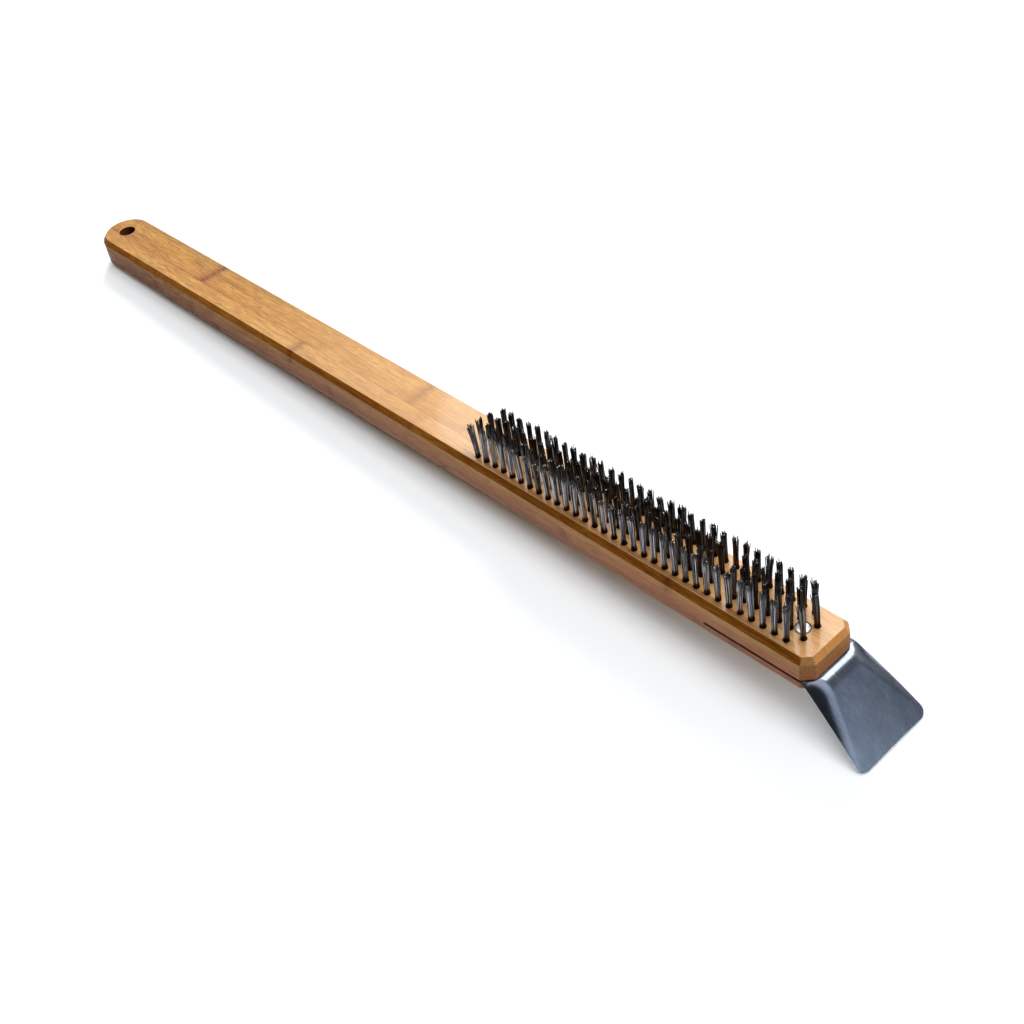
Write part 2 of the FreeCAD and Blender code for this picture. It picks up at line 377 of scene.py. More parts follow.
# ------------------------------------------------------------------ materials
def bamboo(name, seed, tint, joints, marks):
    """Lacquered bamboo. joints: glue lines as (axis, place); marks: growth nodes as (x, lo, hi, strength)."""
    t = Tree(name)
    p = t.mm()
    x, y, z = t.sep(p)
    rnd = random.Random(seed)
    off = tuple(rnd.uniform(-300, 300) for _ in range(3))

    # fibres swerve a little, more so beside the growth nodes
    wave = t.noise(t.vmath("ADD", t.vmath("MULTIPLY", p, (0.008, 0.05, 0.05)), off), 1.0, 2.0, 0.5)
    swerve = t.mul(t.plus(wave, -0.5), 7.0)
    ring_sum = None
    halo_sum = None
    for mx, lo, hi, power in marks:
        jag = t.mul(t.plus(t.noise(t.vec(0.0, t.mul(y, 0.50), t.plus(t.mul(z, 0.4), mx)), 1.0, 4.0, 0.8), -0.5), 8.5)
        d = t.plus(t.plus(x, -mx), jag)
        broken = t.remap(t.noise(t.vec(t.mul(x, 0.25), t.mul(y, 0.9), t.plus(t.mul(z, 0.9), mx)), 1.0, 3.0, 0.75), 0.38, 0.62)
        ring = t.mul(t.gauss(d, 1.75), t.mul(t.remap(broken, 0.0, 0.45), power))
        ring2 = t.mul(t.gauss(t.plus(d, -2.6), 0.8), t.mul(t.math("SUBTRACT", 1.0, broken), power * 0.6))
        inside = t.mul(t.remap(y, lo - 0.8, lo + 0.8), t.remap(y, hi + 0.8, hi - 0.8))
        teeth = t.remap(t.noise(t.vec(t.mul(x, 0.16), t.mul(y, 1.15), t.plus(t.mul(z, 1.15), mx)), 1.0, 2.0, 0.6), 0.50, 0.60)
        teeth = t.mul(t.mul(teeth, t.gauss(t.plus(d, -1.4), 3.0)), power * 0.85)
        ring = t.mul(t.math("MAXIMUM", t.math("MAXIMUM", ring, ring2), teeth), inside)
        halo = t.mul(t.mul(t.gauss(t.plus(d, 1.2), 4.6), inside), power)
        ring_sum = ring if ring_sum is None else t.math("MAXIMUM", ring_sum, ring)
        halo_sum = halo if halo_sum is None else t.math("MAXIMUM", halo_sum, halo)
        swerve = t.plus(swerve, t.mul(halo, 0.9))
    q = t.vec(x, t.plus(y, swerve), t.plus(z, t.mul(swerve, 0.6)))
    q = t.vmath("ADD", q, off)

    fine = t.noise(t.vmath("MULTIPLY", q, (0.060, 0.95, 0.95)), 1.0, 4.0, 0.75)
    dash = t.noise(t.vmath("MULTIPLY", q, (0.115, 1.05, 1.05)), 1.0, 2.0, 0.6)
    mid = t.noise(t.vmath("MULTIPLY", q, (0.030, 0.50, 0.50)), 1.0, 3.0, 0.65)
    wide = t.noise(t.vmath("MULTIPLY", q, (0.0075, 0.13, 0.13)), 1.0, 2.0, 0.5)
    bundles = t.voronoi(t.vmath("MULTIPLY", q, (0.07, 1.25, 1.25)), 1.0)
    bundle = t.remap(bundles.outputs["Distance"], 0.14, 0.36, 1.0, 0.0)
    keep = t.remap(t.noise(t.vmath("MULTIPLY", q, (0.03, 0.5, 0.5)), 1.0, 1.0, 0.5), 0.40, 0.58)
    bundle = t.mul(bundle, keep)

    tone = t.plus(t.plus(t.mul(fine, 0.85), t.mul(mid, 0.30)), t.mul(wide, 0.34))
    base = t.ramp(t.remap(tone, 0.57, 0.91, kind="LINEAR"), [
        (0.0, (0.300, 0.112, 0.022)),
        (0.30, (0.475, 0.212, 0.052)),
        (0.58, (0.600, 0.300, 0.086)),
        (1.0, (0.730, 0.430, 0.165)),
    ])
    base = t.mix(t.remap(dash, 0.53, 0.62, 0.0, 0.72), base, (0.330, 0.128, 0.020))
    base = t.mix(t.mul(bundle, 0.55), base, (0.250, 0.090, 0.020))
    # end grain: darker, with dense dots
    tn = t.sep(t.add("ShaderNodeNewGeometry").outputs["True Normal"])
    nx, nz = t.math("ABSOLUTE", tn[0]), t.math("ABSOLUTE", tn[2])
    end = t.remap(nx, 0.50, 0.75)
    dots = t.remap(t.voronoi(t.vmath("MULTIPLY", q, (0.05, 1.05, 1.05)), 1.0).outputs["Distance"], 0.18, 0.40, 1.0, 0.0)
    endcol = t.mix(t.mul(dots, 0.8), (1.0, 0.40, 0.105), (0.31, 0.105, 0.022))
    endcol = t.mix(t.remap(x, 100.0, 0.0, 0.0, 0.55), endcol, (0.330, 0.135, 0.040))
    base = t.mix(t.mul(end, 0.88), base, endcol)
    # painted shade: the side bevels are darkened as if turned away from the light
    bevel_shade = t.mul(t.mul(t.remap(nz, 0.25, 0.45), t.remap(nz, 0.97, 0.82)), t.remap(nx, 0.42, 0.24))
    base = t.mix(bevel_shade, base, t.mix(1.0, base, (0.74, 0.56, 0.27), "MULTIPLY"))
    # the bevels round the nose are darkened a little and greyed
    nose = t.mul(t.mul(t.remap(nz, 0.25, 0.45), t.remap(nz, 0.97, 0.82)), t.remap(nx, 0.24, 0.42))
    base = t.mix(nose, base, t.mix(1.0, base, (0.78, 0.76, 0.70), "MULTIPLY"))
    # painted highlight: the rounded arris between top and bevel is paler, standing in for the sheen it catches
    arris_highlight = t.mul(t.mul(t.remap(nz, 0.66, 0.80), t.remap(nz, 0.998, 0.975)), t.math("SUBTRACT", 1.0, end))
    base = t.mix(t.mul(arris_highlight, 0.55), base, (0.78, 0.50, 0.235))
    # growth nodes
    base = t.mix(t.mul(halo_sum, 0.74), base, (0.36, 0.105, 0.014)) if halo_sum is not None else base
    base = t.mix(t.mul(ring_sum, 0.92), base, (0.135, 0.030, 0.004)) if ring_sum is not None else base
    # painted shade: the hang-hole bore and the tang slot are darkened inside, where shade falls
    away = t.math("SQRT", t.plus(t.mul(x, x), t.mul(y, y)))
    inner = t.mul(t.remap(away, HOLE_R + 0.75, HOLE_R + 0.35), t.remap(nz, 0.9, 0.6))
    sawn = t.mul(t.mul(t.remap(x, SLOT_X - 0.2, SLOT_X + 0.2), t.remap(z, Z_LOW - 0.10, Z_LOW - 0.03)), t.remap(z, Z_LOW + SLOT_H + 0.10, Z_LOW + SLOT_H + 0.03))
    base = t.mix(t.mul(t.math("MAXIMUM", inner, sawn), 0.88), base, (0.055, 0.022, 0.007))
    # glue lines
    for axis, place in joints:
        c = (x, y, z)[axis]
        w = t.mul(t.plus(t.noise(t.vmath("MULTIPLY", p, (0.06, 0.3, 0.3)), 1.0, 2.0, 0.5), -0.5), 0.12)
        line = t.gauss(t.plus(t.plus(c, -place), w), 0.16)
        base = t.mix(t.mul(line, 0.74), base, (0.10, 0.036, 0.010))
    # the bar is paler towards the head: partly the wood's own tone, partly painted sheen; on the bevels it darkens
    # there instead, as painted shade
    pale_and_sheen = t.remap(x, 110.0, 300.0, kind="SMOOTHSTEP")
    base = t.mix(t.mul(t.mul(pale_and_sheen, 0.38), t.math("SUBTRACT", 1.0, bevel_shade)), base, (0.80, 0.53, 0.325))
    base = t.mix(t.mul(t.mul(pale_and_sheen, bevel_shade), 0.20), base, (0.15, 0.055, 0.006))
    base = t.mix(1.0, base, tint, "MULTIPLY")
    # colour factors across the handle's face, lighter at its near edge: partly the wood's toasted tone, partly painted
    # light and shade
    flat = t.mul(t.remap(nz, 0.985, 0.998), t.remap(x, 270.0, 130.0))
    toast_and_shading = t.ramp(t.remap(y, -13.0, 15.0, kind="LINEAR"), [
        (0.0, (0.868, 0.966, 0.924)), (0.143, (0.749, 0.756, 0.616)), (0.357, (0.630, 0.560, 0.343)),
        (0.571, (0.735, 0.728, 0.483)), (0.786, (0.735, 0.763, 0.539)), (1.0, (0.609, 0.693, 0.602))])
    toast_and_shading = t.vmath("MULTIPLY", toast_and_shading, (1.4286, 1.4286, 1.4286))
    base = t.mix(flat, base, t.mix(1.0, base, toast_and_shading, "MULTIPLY"))
    # painted shade along the near edge of the bristle field, where the tufts shade the top
    tuft_shade = t.mul(t.mul(t.remap(x, 372.0, 392.0), t.remap(x, 600.0, 575.0)), t.mul(t.remap(nz, 0.985, 0.998), t.remap(y, -11.5, -13.0)))
    base = t.mix(tuft_shade, base, t.mix(1.0, base, (0.74, 0.63, 0.60), "MULTIPLY"))
    # the sides are paler towards the head and under the bevel
    flank = t.remap(t.math("ABSOLUTE", tn[1]), 0.92, 0.985)
    lift = t.mul(t.remap(x, 60.0, 520.0, 0.98, 1.55, "LINEAR"), t.remap(z, -4.5, 5.5, 0.84, 1.26, "LINEAR"))
    base = t.mix(flank, base, t.mix(1.0, base, t.vec(lift, t.mul(lift, 0.95), t.mul(lift, 1.10)), "MULTIPLY"))
    grime = t.noise(t.vmath("MULTIPLY", p, (0.02, 0.06, 0.06)), 1.0, 4.0, 0.6)
    base = t.mix(t.remap(grime, 0.45, 0.75, 0.0, 0.16), base, (0.34, 0.16, 0.06))

    height = t.plus(t.plus(t.mul(fine, 0.55), t.mul(mid, 0.6)), t.plus(t.mul(bundle, -0.35), t.mul(dash, -0.3)))
    normal = t.bump(height, 0.22, 0.00012)
    swell = t.noise(t.vmath("MULTIPLY", p, (0.012, 0.10, 0.10)), 1.0, 2.0, 0.5)
    coat_n = t.bump(t.plus(t.mul(swell, 1.0), t.mul(fine, 0.05)), 0.25, 0.0006)
    rough = t.remap(fine, 0.3, 0.7, 0.36, 0.50, "LINEAR")
    crough = t.remap(grime, 0.3, 0.7, 0.05, 0.12, "LINEAR")
    # the lacquer is thick on the broad faces and thin on the sawn sides and ends
    thick = t.remap(nz, 0.70, 0.98)
    return t.surface(Base_Color=base, Roughness=rough, Normal=normal, Coat_Weight=t.remap(thick, 0.0, 1.0, 0.10, 1.0, "LINEAR"),
                     Coat_Roughness=crough, Coat_IOR=1.5, Coat_Normal=coat_n,
                     Specular_IOR_Level=t.remap(thick, 0.0, 1.0, 0.06, 0.5, "LINEAR"))


def steel(name, slope, blend_x):
    """Brushed stainless, grained along the blade."""
    t = Tree(name)
    p = t.mm()
    x, y, z = t.sep(p)
    u = t.plus(t.mul(x, math.cos(slope)), t.mul(z, -math.sin(slope)))
    n = t.plus(t.mul(x, math.sin(slope)), t.mul(z, math.cos(slope)))
    q = t.vec(u, y, n)
    g1 = t.noise(t.vmath("MULTIPLY", q, (0.12, 5.0, 0.6)), 1.0, 3.0, 0.7)
    g2 = t.noise(t.vmath("MULTIPLY", q, (0.30, 2.2, 0.4)), 1.0, 4.0, 0.70)
    cloud = t.noise(t.vmath("MULTIPLY", q, (0.05, 0.08, 0.08)), 1.0, 3.0, 0.55)
    scr = t.noise(t.vmath("MULTIPLY", q, (0.9, 0.07, 0.4)), 1.0, 3.0, 0.6)
    tone = t.plus(t.plus(t.mul(g1, 0.35), t.mul(g2, 0.35)), t.mul(cloud, 0.30))
    col = t.ramp(t.remap(tone, 0.34, 0.66, kind="LINEAR"), [
        (0.0, (0.20, 0.24, 0.31)), (0.5, (0.33, 0.38, 0.46)), (1.0, (0.50, 0.55, 0.63))])
    col = t.mix(t.remap(scr, 0.62, 0.75, 0.0, 0.25), col, (0.50, 0.53, 0.58))
    col = t.mix(1.0, col, t.mix(t.remap(x, blend_x + 2.0, blend_x + 30.0), (0.93, 0.93, 0.95), (1.16, 1.16, 1.17)), "MULTIPLY")
    # painted shade: the tang is darkened almost black inside the slot
    col = t.mix(t.remap(x, blend_x - 5.6, blend_x - 6.6, 0.0, 0.85), col, (0.045, 0.042, 0.045))
    # painted highlight: the sheet's edges are given a lighter colour, standing in for the light they catch
    tn = t.sep(t.add("ShaderNodeNewGeometry").outputs["True Normal"])
    rim = t.math("MAXIMUM", t.remap(t.math("ABSOLUTE", tn[2]), 0.50, 0.30),
                 t.remap(t.plus(t.mul(tn[0], math.cos(slope)), t.mul(tn[2], -math.sin(slope))), 0.75, 0.90))
    rim = t.mul(rim, t.remap(x, blend_x - 6.0, blend_x))
    col = t.mix(t.mul(rim, 0.8), col, (0.80, 0.82, 0.86))
    rough = t.remap(t.plus(t.mul(g1, 0.6), t.mul(cloud, 0.4)), 0.35, 0.65, 0.20, 0.30, "LINEAR")
    rough = t.mul(rough, t.remap(x, blend_x - 1.0, blend_x + 9.0, 0.55, 1.0))
    normal = t.bump(t.plus(t.mul(g1, 0.6), t.plus(t.mul(g2, 0.5), t.mul(scr, 0.12))), 0.16, 0.00005)
    tangent = t.vec(math.cos(slope), 0.0, -math.sin(slope))
    return t.surface(Base_Color=col, Metallic=1.0, Roughness=rough, Normal=normal, Anisotropic=0.35, Tangent=tangent)


def rivet_metal(name, centre):
    t = Tree(name)
    p = t.mm()
    d = t.vmath("SUBTRACT", p, (centre[0], centre[1], 0.0))
    dx, dy, dz = t.sep(d)
    r = t.math("SQRT", t.plus(t.mul(dx, dx), t.mul(dy, dy)))
    rings = t.noise(t.vec(t.mul(r, 7.0), 0.0, 0.0), 1.0, 3.0, 0.7)
    nicks = t.noise(t.vmath("MULTIPLY", p, (1.4, 1.4, 1.4)), 1.0, 4.0, 0.6)
    col = t.mix(t.remap(nicks, 0.4, 0.7), (0.84, 0.85, 0.86), (0.66, 0.67, 0.69))
    rim = t.remap(r, 3.5, 4.1)
    col = t.mix(t.mul(rim, 0.4), col, (0.40, 0.40, 0.41))
    rough = t.plus(t.remap(rings, 0.35, 0.65, 0.20, 0.34, "LINEAR"), t.mul(nicks, 0.08))
    normal = t.bump(t.plus(t.mul(rings, 0.8), t.mul(nicks, 0.5)), 0.25, 0.00005)
    return t.surface(Base_Color=col, Metallic=1.0, Roughness=rough, Normal=normal)


def wire_metal(name, top):
    """Tempered steel wire: dark, greyer in streaks, with painted shade on the rows behind the outer row and at the
    foot.
    """
    t = Tree(name)
    p = t.mm()
    x, y, z = t.sep(p)
    island = t.add("ShaderNodeNewGeometry").outputs["Random Per Island"]
    streak = t.noise(t.vec(t.mul(x, 3.0), t.mul(y, 3.0), t.plus(t.mul(z, 0.16), t.mul(island, 50.0))), 1.0, 3.0, 0.6)
    v = t.plus(t.mul(island, 0.62), t.mul(streak, 0.50))
    col = t.ramp(v, [(0.36, (0.022, 0.019, 0.020)), (0.57, (0.19, 0.187, 0.202)), (0.85, (0.82, 0.82, 0.87))])
    # painted shade: the rows behind the outer row are darkened, standing in for the shade they cast on one another; the
    # outer row keeps its own colour
    back_row_shade = t.remap(y, -11.0, -3.0, 0.0, 0.80)
    col = t.mix(back_row_shade, col, (0.014, 0.010, 0.009))
    tip = t.remap(t.plus(z, t.mul(island, 3.0)), top - 1.0, top + 1.5, 0.0, 0.72)
    col = t.mix(tip, col, (0.020, 0.018, 0.018))
    # painted shade: the wires darken to brown towards the foot, where they crowd into the bore
    foot = t.remap(z, HALF_T + 4.2, HALF_T + 1.6, 0.0, 0.95)
    col = t.mix(foot, col, (0.022, 0.011, 0.007))
    cut = t.remap(t.sep(t.add("ShaderNodeNewGeometry").outputs["True Normal"])[2], 0.6, 0.9)
    col = t.mix(cut, col, t.mix(t.remap(island, 0.78, 0.84), (0.07, 0.066, 0.064), (0.80, 0.79, 0.78)))
    rough = t.remap(streak, 0.3, 0.7, 0.26, 0.46, "LINEAR")
    drawn = t.noise(t.vec(t.mul(x, 9.0), t.mul(y, 9.0), t.mul(z, 0.5)), 1.0, 2.0, 0.6)
    normal = t.bump(drawn, 0.25, 0.00004)
    return t.surface(Base_Color=col, Metallic=1.0, Roughness=rough, Normal=normal)


def anchor_metal(name):
    t = Tree(name)
    p = t.mm()
    n1 = t.noise(t.vmath("MULTIPLY", p, (3.0, 0.4, 3.0)), 1.0, 4.0, 0.65)
    col = t.ramp(n1, [(0.3, (0.20, 0.19, 0.18)), (0.7, (0.46, 0.45, 0.43))])
    return t.surface(Base_Color=col, Metallic=1.0, Roughness=t.remap(n1, 0.3, 0.7, 0.28, 0.5, "LINEAR"), Normal=t.bump(n1, 0.3, 0.00005))


# ------------------------------------------------------------------ the bar, ply by ply
def outline(inset, z, corner_r=1.3, tail=72):
    w = HALF_W - inset
    xe = HEAD_X - inset
    c = HEAD_X + HALF_W - CLIP - inset * math.sqrt(2.0)
    pts = fillet([(0, -w), (c - w, -w), (xe, -(c - xe)), (xe, c - xe), (c - w, w), (0, w)], [0, corner_r, corner_r, corner_r, corner_r, 0], 5)
    pts = pts[1:-1]
    for k in range(tail + 1):
        a = math.pi / 2 + math.pi * k / tail
        pts.append((w * math.cos(a), w * math.sin(a)))
    return [(px, py, z) for px, py in pts]


deep = 8.0
profile = fillet([(deep, -HALF_T), (BEVEL_IN, -HALF_T), (0.0, -HALF_T + BEVEL_H), (0.0, HALF_T - BEVEL_H), (BEVEL_IN, HALF_T), (deep, HALF_T)],
                 [0, 0.65, 0.9, 0.9, 0.65, 0], 5, closed=False)[1:-1]
verts, faces, n = [], [], 0
for d, z in profile:
    ring = outline(d, z)
    n = len(ring)
    verts += ring
for i in range(len(profile) - 1):
    for j in range(n):
        k = (j + 1) % n
        faces.append((i * n + j, i * n + k, (i + 1) * n + k, (i + 1) * n + j))
faces.append(tuple(reversed(range(n))))
faces.append(tuple(range((len(profile) - 1) * n, len(profile) * n)))
bar = make("bar_blank", verts, faces)

HOLE_Z = min(t[2] for t in ROWS["bristle_row_1"]) - 0.05
hole_rng = random.Random(11)
TUFT_HOLE_R = 1.8


def hole_profile(r):
    return [(0, HOLE_Z - 0.35), (r * 0.5, HOLE_Z - 0.18), (r, HOLE_Z), (r, HALF_T - 0.16), (r + 0.05, HALF_T - 0.05), (r + 0.17, HALF_T + 0.05), (r + 0.3, HALF_T + 0.4), (0, HALF_T + 0.4)]


parts = []
for row, tufts in ROWS.items():
    for cx, cy, _, _ in tufts:
        parts.append(lathe(hole_profile(TUFT_HOLE_R + hole_rng.uniform(-0.02, 0.05)), 20, cx, cy, hole_rng.uniform(0, 0.3)))
tuft_cutter = make("tuft_cutter", *join(parts))

parts = []
E = 0.75
ease = []
for k in range(6):
    a = math.pi / 2 * k / 5
    ease.append((HOLE_R + E * (1 - math.cos(a)), HALF_T - E + E * math.sin(a)))
prof = [(0, -HALF_T - 1), (HOLE_R + E, -HALF_T - 1)] + [(r, -z) for r, z in reversed(ease)] + ease + [(HOLE_R + E, HALF_T + 1), (0, HALF_T + 1)]
parts.append(lathe(prof, 64, 0, 0))
for cx, cy, hr, top in rivets.values():
    cb = hr + 0.55
    prof = [(0, -HALF_T - 1), (cb + 0.2, -HALF_T - 1), (cb + 0.12, -HALF_T), (cb, -HALF_T + 0.15), (cb, -HALF_T + 1.5), (2.55, -HALF_T + 1.5),
            (2.55, HALF_T - 1.5), (cb, HALF_T - 1.5), (cb, HALF_T - 0.15), (cb + 0.12, HALF_T), (cb + 0.2, HALF_T + 1), (0, HALF_T + 1)]
    parts.append(lathe(prof, 48, cx, cy))
bore_cutter = make("bore_cutter", *join(parts))

GAP = 0.035
cells = {
    "upper_near_strip": (-60, Y_UP - GAP, Z_UP + GAP, 30),
    "upper_far_strip": (Y_UP + GAP, 60, Z_UP + GAP, 30),
    "middle_near_strip": (-60, Y_MID - GAP, Z_LOW + GAP, Z_UP - GAP),
    "middle_far_strip": (Y_MID + GAP, 60, Z_LOW + GAP, Z_UP - GAP),
    "lower_near_strip": (-60, Y_LOW - GAP, -30, Z_LOW - GAP),
    "lower_far_strip": (Y_LOW + GAP, 60, -30, Z_LOW - GAP),
}
joints = {
    "upper_near_strip": [(2, Z_UP), (1, Y_UP)],
    "upper_far_strip": [(2, Z_UP), (1, Y_UP)],
    "middle_near_strip": [(2, Z_UP), (2, Z_LOW), (1, Y_MID)],
    "middle_far_strip": [(2, Z_UP), (2, Z_LOW), (1, Y_MID)],
    "lower_near_strip": [(2, Z_LOW), (1, Y_LOW)],
    "lower_far_strip": [(2, Z_LOW), (1, Y_LOW)],
}
marks = {
    "upper_near_strip": [(219.0, -30, 30, 1.0), (336.0, -30, -13.5, 0.45), (537.0, -30, -13, 0.8)],
    "upper_far_strip": [(103.0, -30, 30, 1.0), (321.0, -30, 30, 0.85), (541.0, -30, 30, 0.5)],
    "middle_near_strip": [(258.0, -30, 30, 0.8), (462.5, -30, 30, 1.0), (60.0, -30, 30, 0.5)],
    "middle_far_strip": [(178.0, -30, 30, 0.9), (397.0, -30, 30, 0.9)],
    "lower_near_strip": [(133.0, -30, 30, 0.9), (365.0, -30, 30, 0.9), (580.0, -30, 30, 0.7)],
    "lower_far_strip": [(48.0, -30, 30, 0.8), (288.0, -30, 30, 1.0), (507.0, -30, 30, 0.9)],
}
tints = {
    "upper_near_strip": (0.90, 0.82, 0.60),
    "upper_far_strip": (0.90, 0.81, 0.56),
    "middle_near_strip": (0.96, 0.74, 0.65),
    "middle_far_strip": (0.90, 0.86, 0.84),
    "lower_near_strip": (1.0, 0.80, 0.76),
    "lower_far_strip": (0.97, 0.95, 0.92),
}
for i, (name, (y0, y1, z0, z1)) in enumerate(cells.items()):
    ob = bpy.data.objects.new(name + "_wood", bar.data.copy())
    scene.collection.objects.link(ob)
    cell = block("cell", -100, 700, y0, y1, z0, z1)
    boolean(ob, cell, "INTERSECT")
    drop(cell)
    boolean(ob, bore_cutter, "DIFFERENCE")
    if not name.startswith("lower"):
        boolean(ob, tuft_cutter, "DIFFERENCE")
    if name.startswith("middle"):
        slot = block("slot", SLOT_X, 700, -60, 60, Z_LOW - 2.0, Z_LOW + SLOT_H)
        boolean(ob, slot, "DIFFERENCE")
        drop(slot)
    tidy(ob)
    ob.data.materials.clear()
    ob.data.materials.append(bamboo("bamboo_" + name, 40 + i, tints[name], joints[name], marks[name]))
    shade(ob, 32)
    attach(ob, "root")
    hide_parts(name)
drop(bar, tuft_cutter, bore_cutter)


# ------------------------------------------------------------------ the scraper
T = 1.2
TOP = blade_hi.z
X0, X_EDGE = blade_lo.x, blade_hi.x
BEND = HEAD_X + 4.2
EDGE_Z = TOP - 30.2
SLOPE = math.atan2(TOP - EDGE_Z, X_EDGE - BEND)
NECK_X, NECK_W, EDGE_W, TANG_W, SHOULDER = HEAD_X - 4.2, 18.5, 25.6, 16.8, HEAD_X - 5.1
A = Vector((BEND, 11.5, TOP))
B = Vector((BEND + 21.8, 23.0, TOP - 21.8 * math.tan(SLOPE)))
C = Vector((BEND - 8.2, 18.4, TOP))
NW = (B - A).cross(C - A).normalized()
A2 = Vector((BEND, 12.4, TOP))
C2 = Vector((BEND - 8.2, 20.4, TOP))
NF = (B - A2).cross(C2 - A2).normalized()


def smin(a, b, k):
    h = np.maximum(k - np.abs(a - b), 0.0) / k
    return np.minimum(a, b) - h * h * k * 0.25


def sheet_z(x, y):
    tang = np.full_like(x, TOP)
    face = TOP - (x - BEND) * math.tan(SLOPE)
    wing = TOP - (NW.x * (x - A.x) + NW.y * (np.abs(y) - A.y)) / NW.z
    # the far fold runs a little further out, as hand-bent sheet does
    away = TOP - (NF.x * (x - A2.x) + NF.y * (np.abs(y) - A2.y)) / NF.z
    wing = np.where(y > 0, away, wing)
    crown = 0.55 * (1 - (y / 20.0) ** 2) * np.clip((x - BEND - 2.0) / 14.0, 0, 1) ** 1.5 - 0.25 * np.clip((x - BEND - 2.0) / 14.0, 0, 1) ** 1.5
    return smin(smin(tang, face, 4.8), wing, 2.8) + crown


def half_width(x):
    if x <= X0 + 3.0:
        d = X0 + 3.0 - x
        return TANG_W - (3.0 - math.sqrt(max(9.0 - d * d, 0.0)))
    if x <= SHOULDER:
        return TANG_W
    if x <= NECK_X:
        s = (x - SHOULDER) / (NECK_X - SHOULDER)
        return TANG_W + (NECK_W - TANG_W) * s
    return NECK_W + (EDGE_W - NECK_W) * (x - NECK_X) / (X_EDGE - NECK_X)


xs = [X0 + 3.0 * (1 - math.cos(math.radians(a))) for a in range(0, 91, 15)]
xs += list(np.linspace(xs[-1], SHOULDER, 12)[1:])
xs += list(np.linspace(SHOULDER, NECK_X, 4)[1:])
xs += list(np.linspace(NECK_X, BEND - 5.6, 3)[1:])
xs += list(np.linspace(BEND - 5.6, BEND + 5.6, 28)[1:])
CR = 6.0
turn_x = X_EDGE - CR * math.cos(SLOPE)
xs += list(np.linspace(BEND + 5.6, turn_x, 24)[1:])
widths = [half_width(x) for x in xs]
# last rows follow the round corners, drawn square to the face
for a in range(10, 91, 10):
    u = CR * (1 - math.sin(math.radians(a)))
    x = X_EDGE - u * math.cos(SLOPE)
    xs.append(x)
    widths.append(half_width(x) - CR * (1 - math.cos(math.radians(a))))
cols = 72
tt = np.linspace(-1, 1, cols + 1)
gx = np.repeat(np.array(xs)[:, None], cols + 1, 1)
gy = np.array(widths)[:, None] * tt[None, :]
gz = sheet_z(gx, gy)
verts = np.stack([gx, gy, gz], -1).reshape(-1, 3)
faces = []
for i in range(len(xs) - 1):
    for j in range(cols):
        a = i * (cols + 1) + j
        faces.append((a, a + cols + 1, a + cols + 2, a + 1))
blade = make("scraper_sheet", verts, faces)
m = blade.modifiers.new("thick", "SOLIDIFY")
m.thickness = T * MM
m.offset = -1.0
m.use_even_offset = True
settle(blade)
m = blade.modifiers.new("rim", "BEVEL")
m.width = 0.28 * MM
m.segments = 3
m.limit_method = "ANGLE"
m.angle_limit = math.radians(60)
settle(blade)
parts = [lathe([(0, TOP - 6), (2.6, TOP - 6), (2.6, TOP + 3), (0, TOP + 3)], 40, cx, cy) for cx, cy, _, _ in rivets.values()]
holes = make("tang_holes", *join(parts))
boolean(blade, holes, "DIFFERENCE")
drop(holes)
tidy(blade, 0.0005)
blade.data.materials.clear()
blade.data.materials.append(steel("scraper_brushed", SLOPE, BEND))
shade(blade, 40)
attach(blade, "root")
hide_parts("scraper_blade")


# ------------------------------------------------------------------ rivets
for place, (cx, cy, hr, top) in rivets.items():
    seat = HALF_T - 1.35
    crown = []
    for k in range(9):
        r = (hr - 0.35) * (1 - k / 8.0)
        crown.append((r, HALF_T + 0.06 + 0.19 * (1 - (r / (hr - 0.35)) ** 2)))
    edge = []
    for k in range(5):
        a = math.pi / 2 * k / 4
        edge.append((hr - 0.35 + 0.35 * math.cos(a), HALF_T - 0.29 + 0.35 * math.sin(a)))
    prof = [(0, -seat + 4.0), (1.5, -seat + 4.0), (1.78, -seat + 4.3), (1.78, seat), (hr - 0.1, seat), (hr, seat + 0.1)] + edge + crown[1:]
    up = make(place + "_rivet_top", *lathe(prof, 64, cx, cy))
    low_head = [(r, -z) for r, z in ([(hr, seat + 0.1)] + edge + crown[1:])]
    prof = list(reversed(low_head)) + [(hr - 0.1, -seat), (2.5, -seat), (2.5, seat - 1.2), (2.3, seat - 1.05), (1.80, seat - 1.05), (1.80, -seat + 1.5), (0, -seat + 1.2)]
    low = make(place + "_rivet_bottom", *lathe(prof, 64, cx, cy))
    mat = rivet_metal(place + "_rivet_metal", (cx, cy))
    for ob, node in ((up, place + "_rivet_upper_half"), (low, place + "_rivet_lower_half")):
        tidy(ob, 0.0005)
        ob.data.materials.append(mat)
        shade(ob, 40)
        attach(ob, "root")
        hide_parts(node)


# ------------------------------------------------------------------ wire tufts
SIDES, STEPS, WIRES, WIRE_R = 7, 6, 27, 0.225


def wire(path, r, rng):
    """A thin closed tube along path, cut square with a slight burr."""
    verts, faces = [], []
    ph = rng.uniform(0, math.pi)
    for k, (px, py, pz) in enumerate(path):
        rr = r
        for s in range(SIDES):
            a = ph + 2 * math.pi * s / SIDES
            dz = 0.0
            if k == len(path) - 1:
                dz = 0.10 * math.cos(a + ph * 3)
            verts.append((px + rr * math.cos(a), py + rr * math.sin(a), pz + dz))
    for k in range(len(path) - 1):
        for s in range(SIDES):
            n2 = (s + 1) % SIDES
            faces.append((k * SIDES + s, k * SIDES + n2, (k + 1) * SIDES + n2, (k + 1) * SIDES + s))
    faces.append(tuple(reversed(range(SIDES))))
    last = (len(path) - 1) * SIDES
    faces.append(tuple(range(last, last + SIDES)))
    return verts, faces


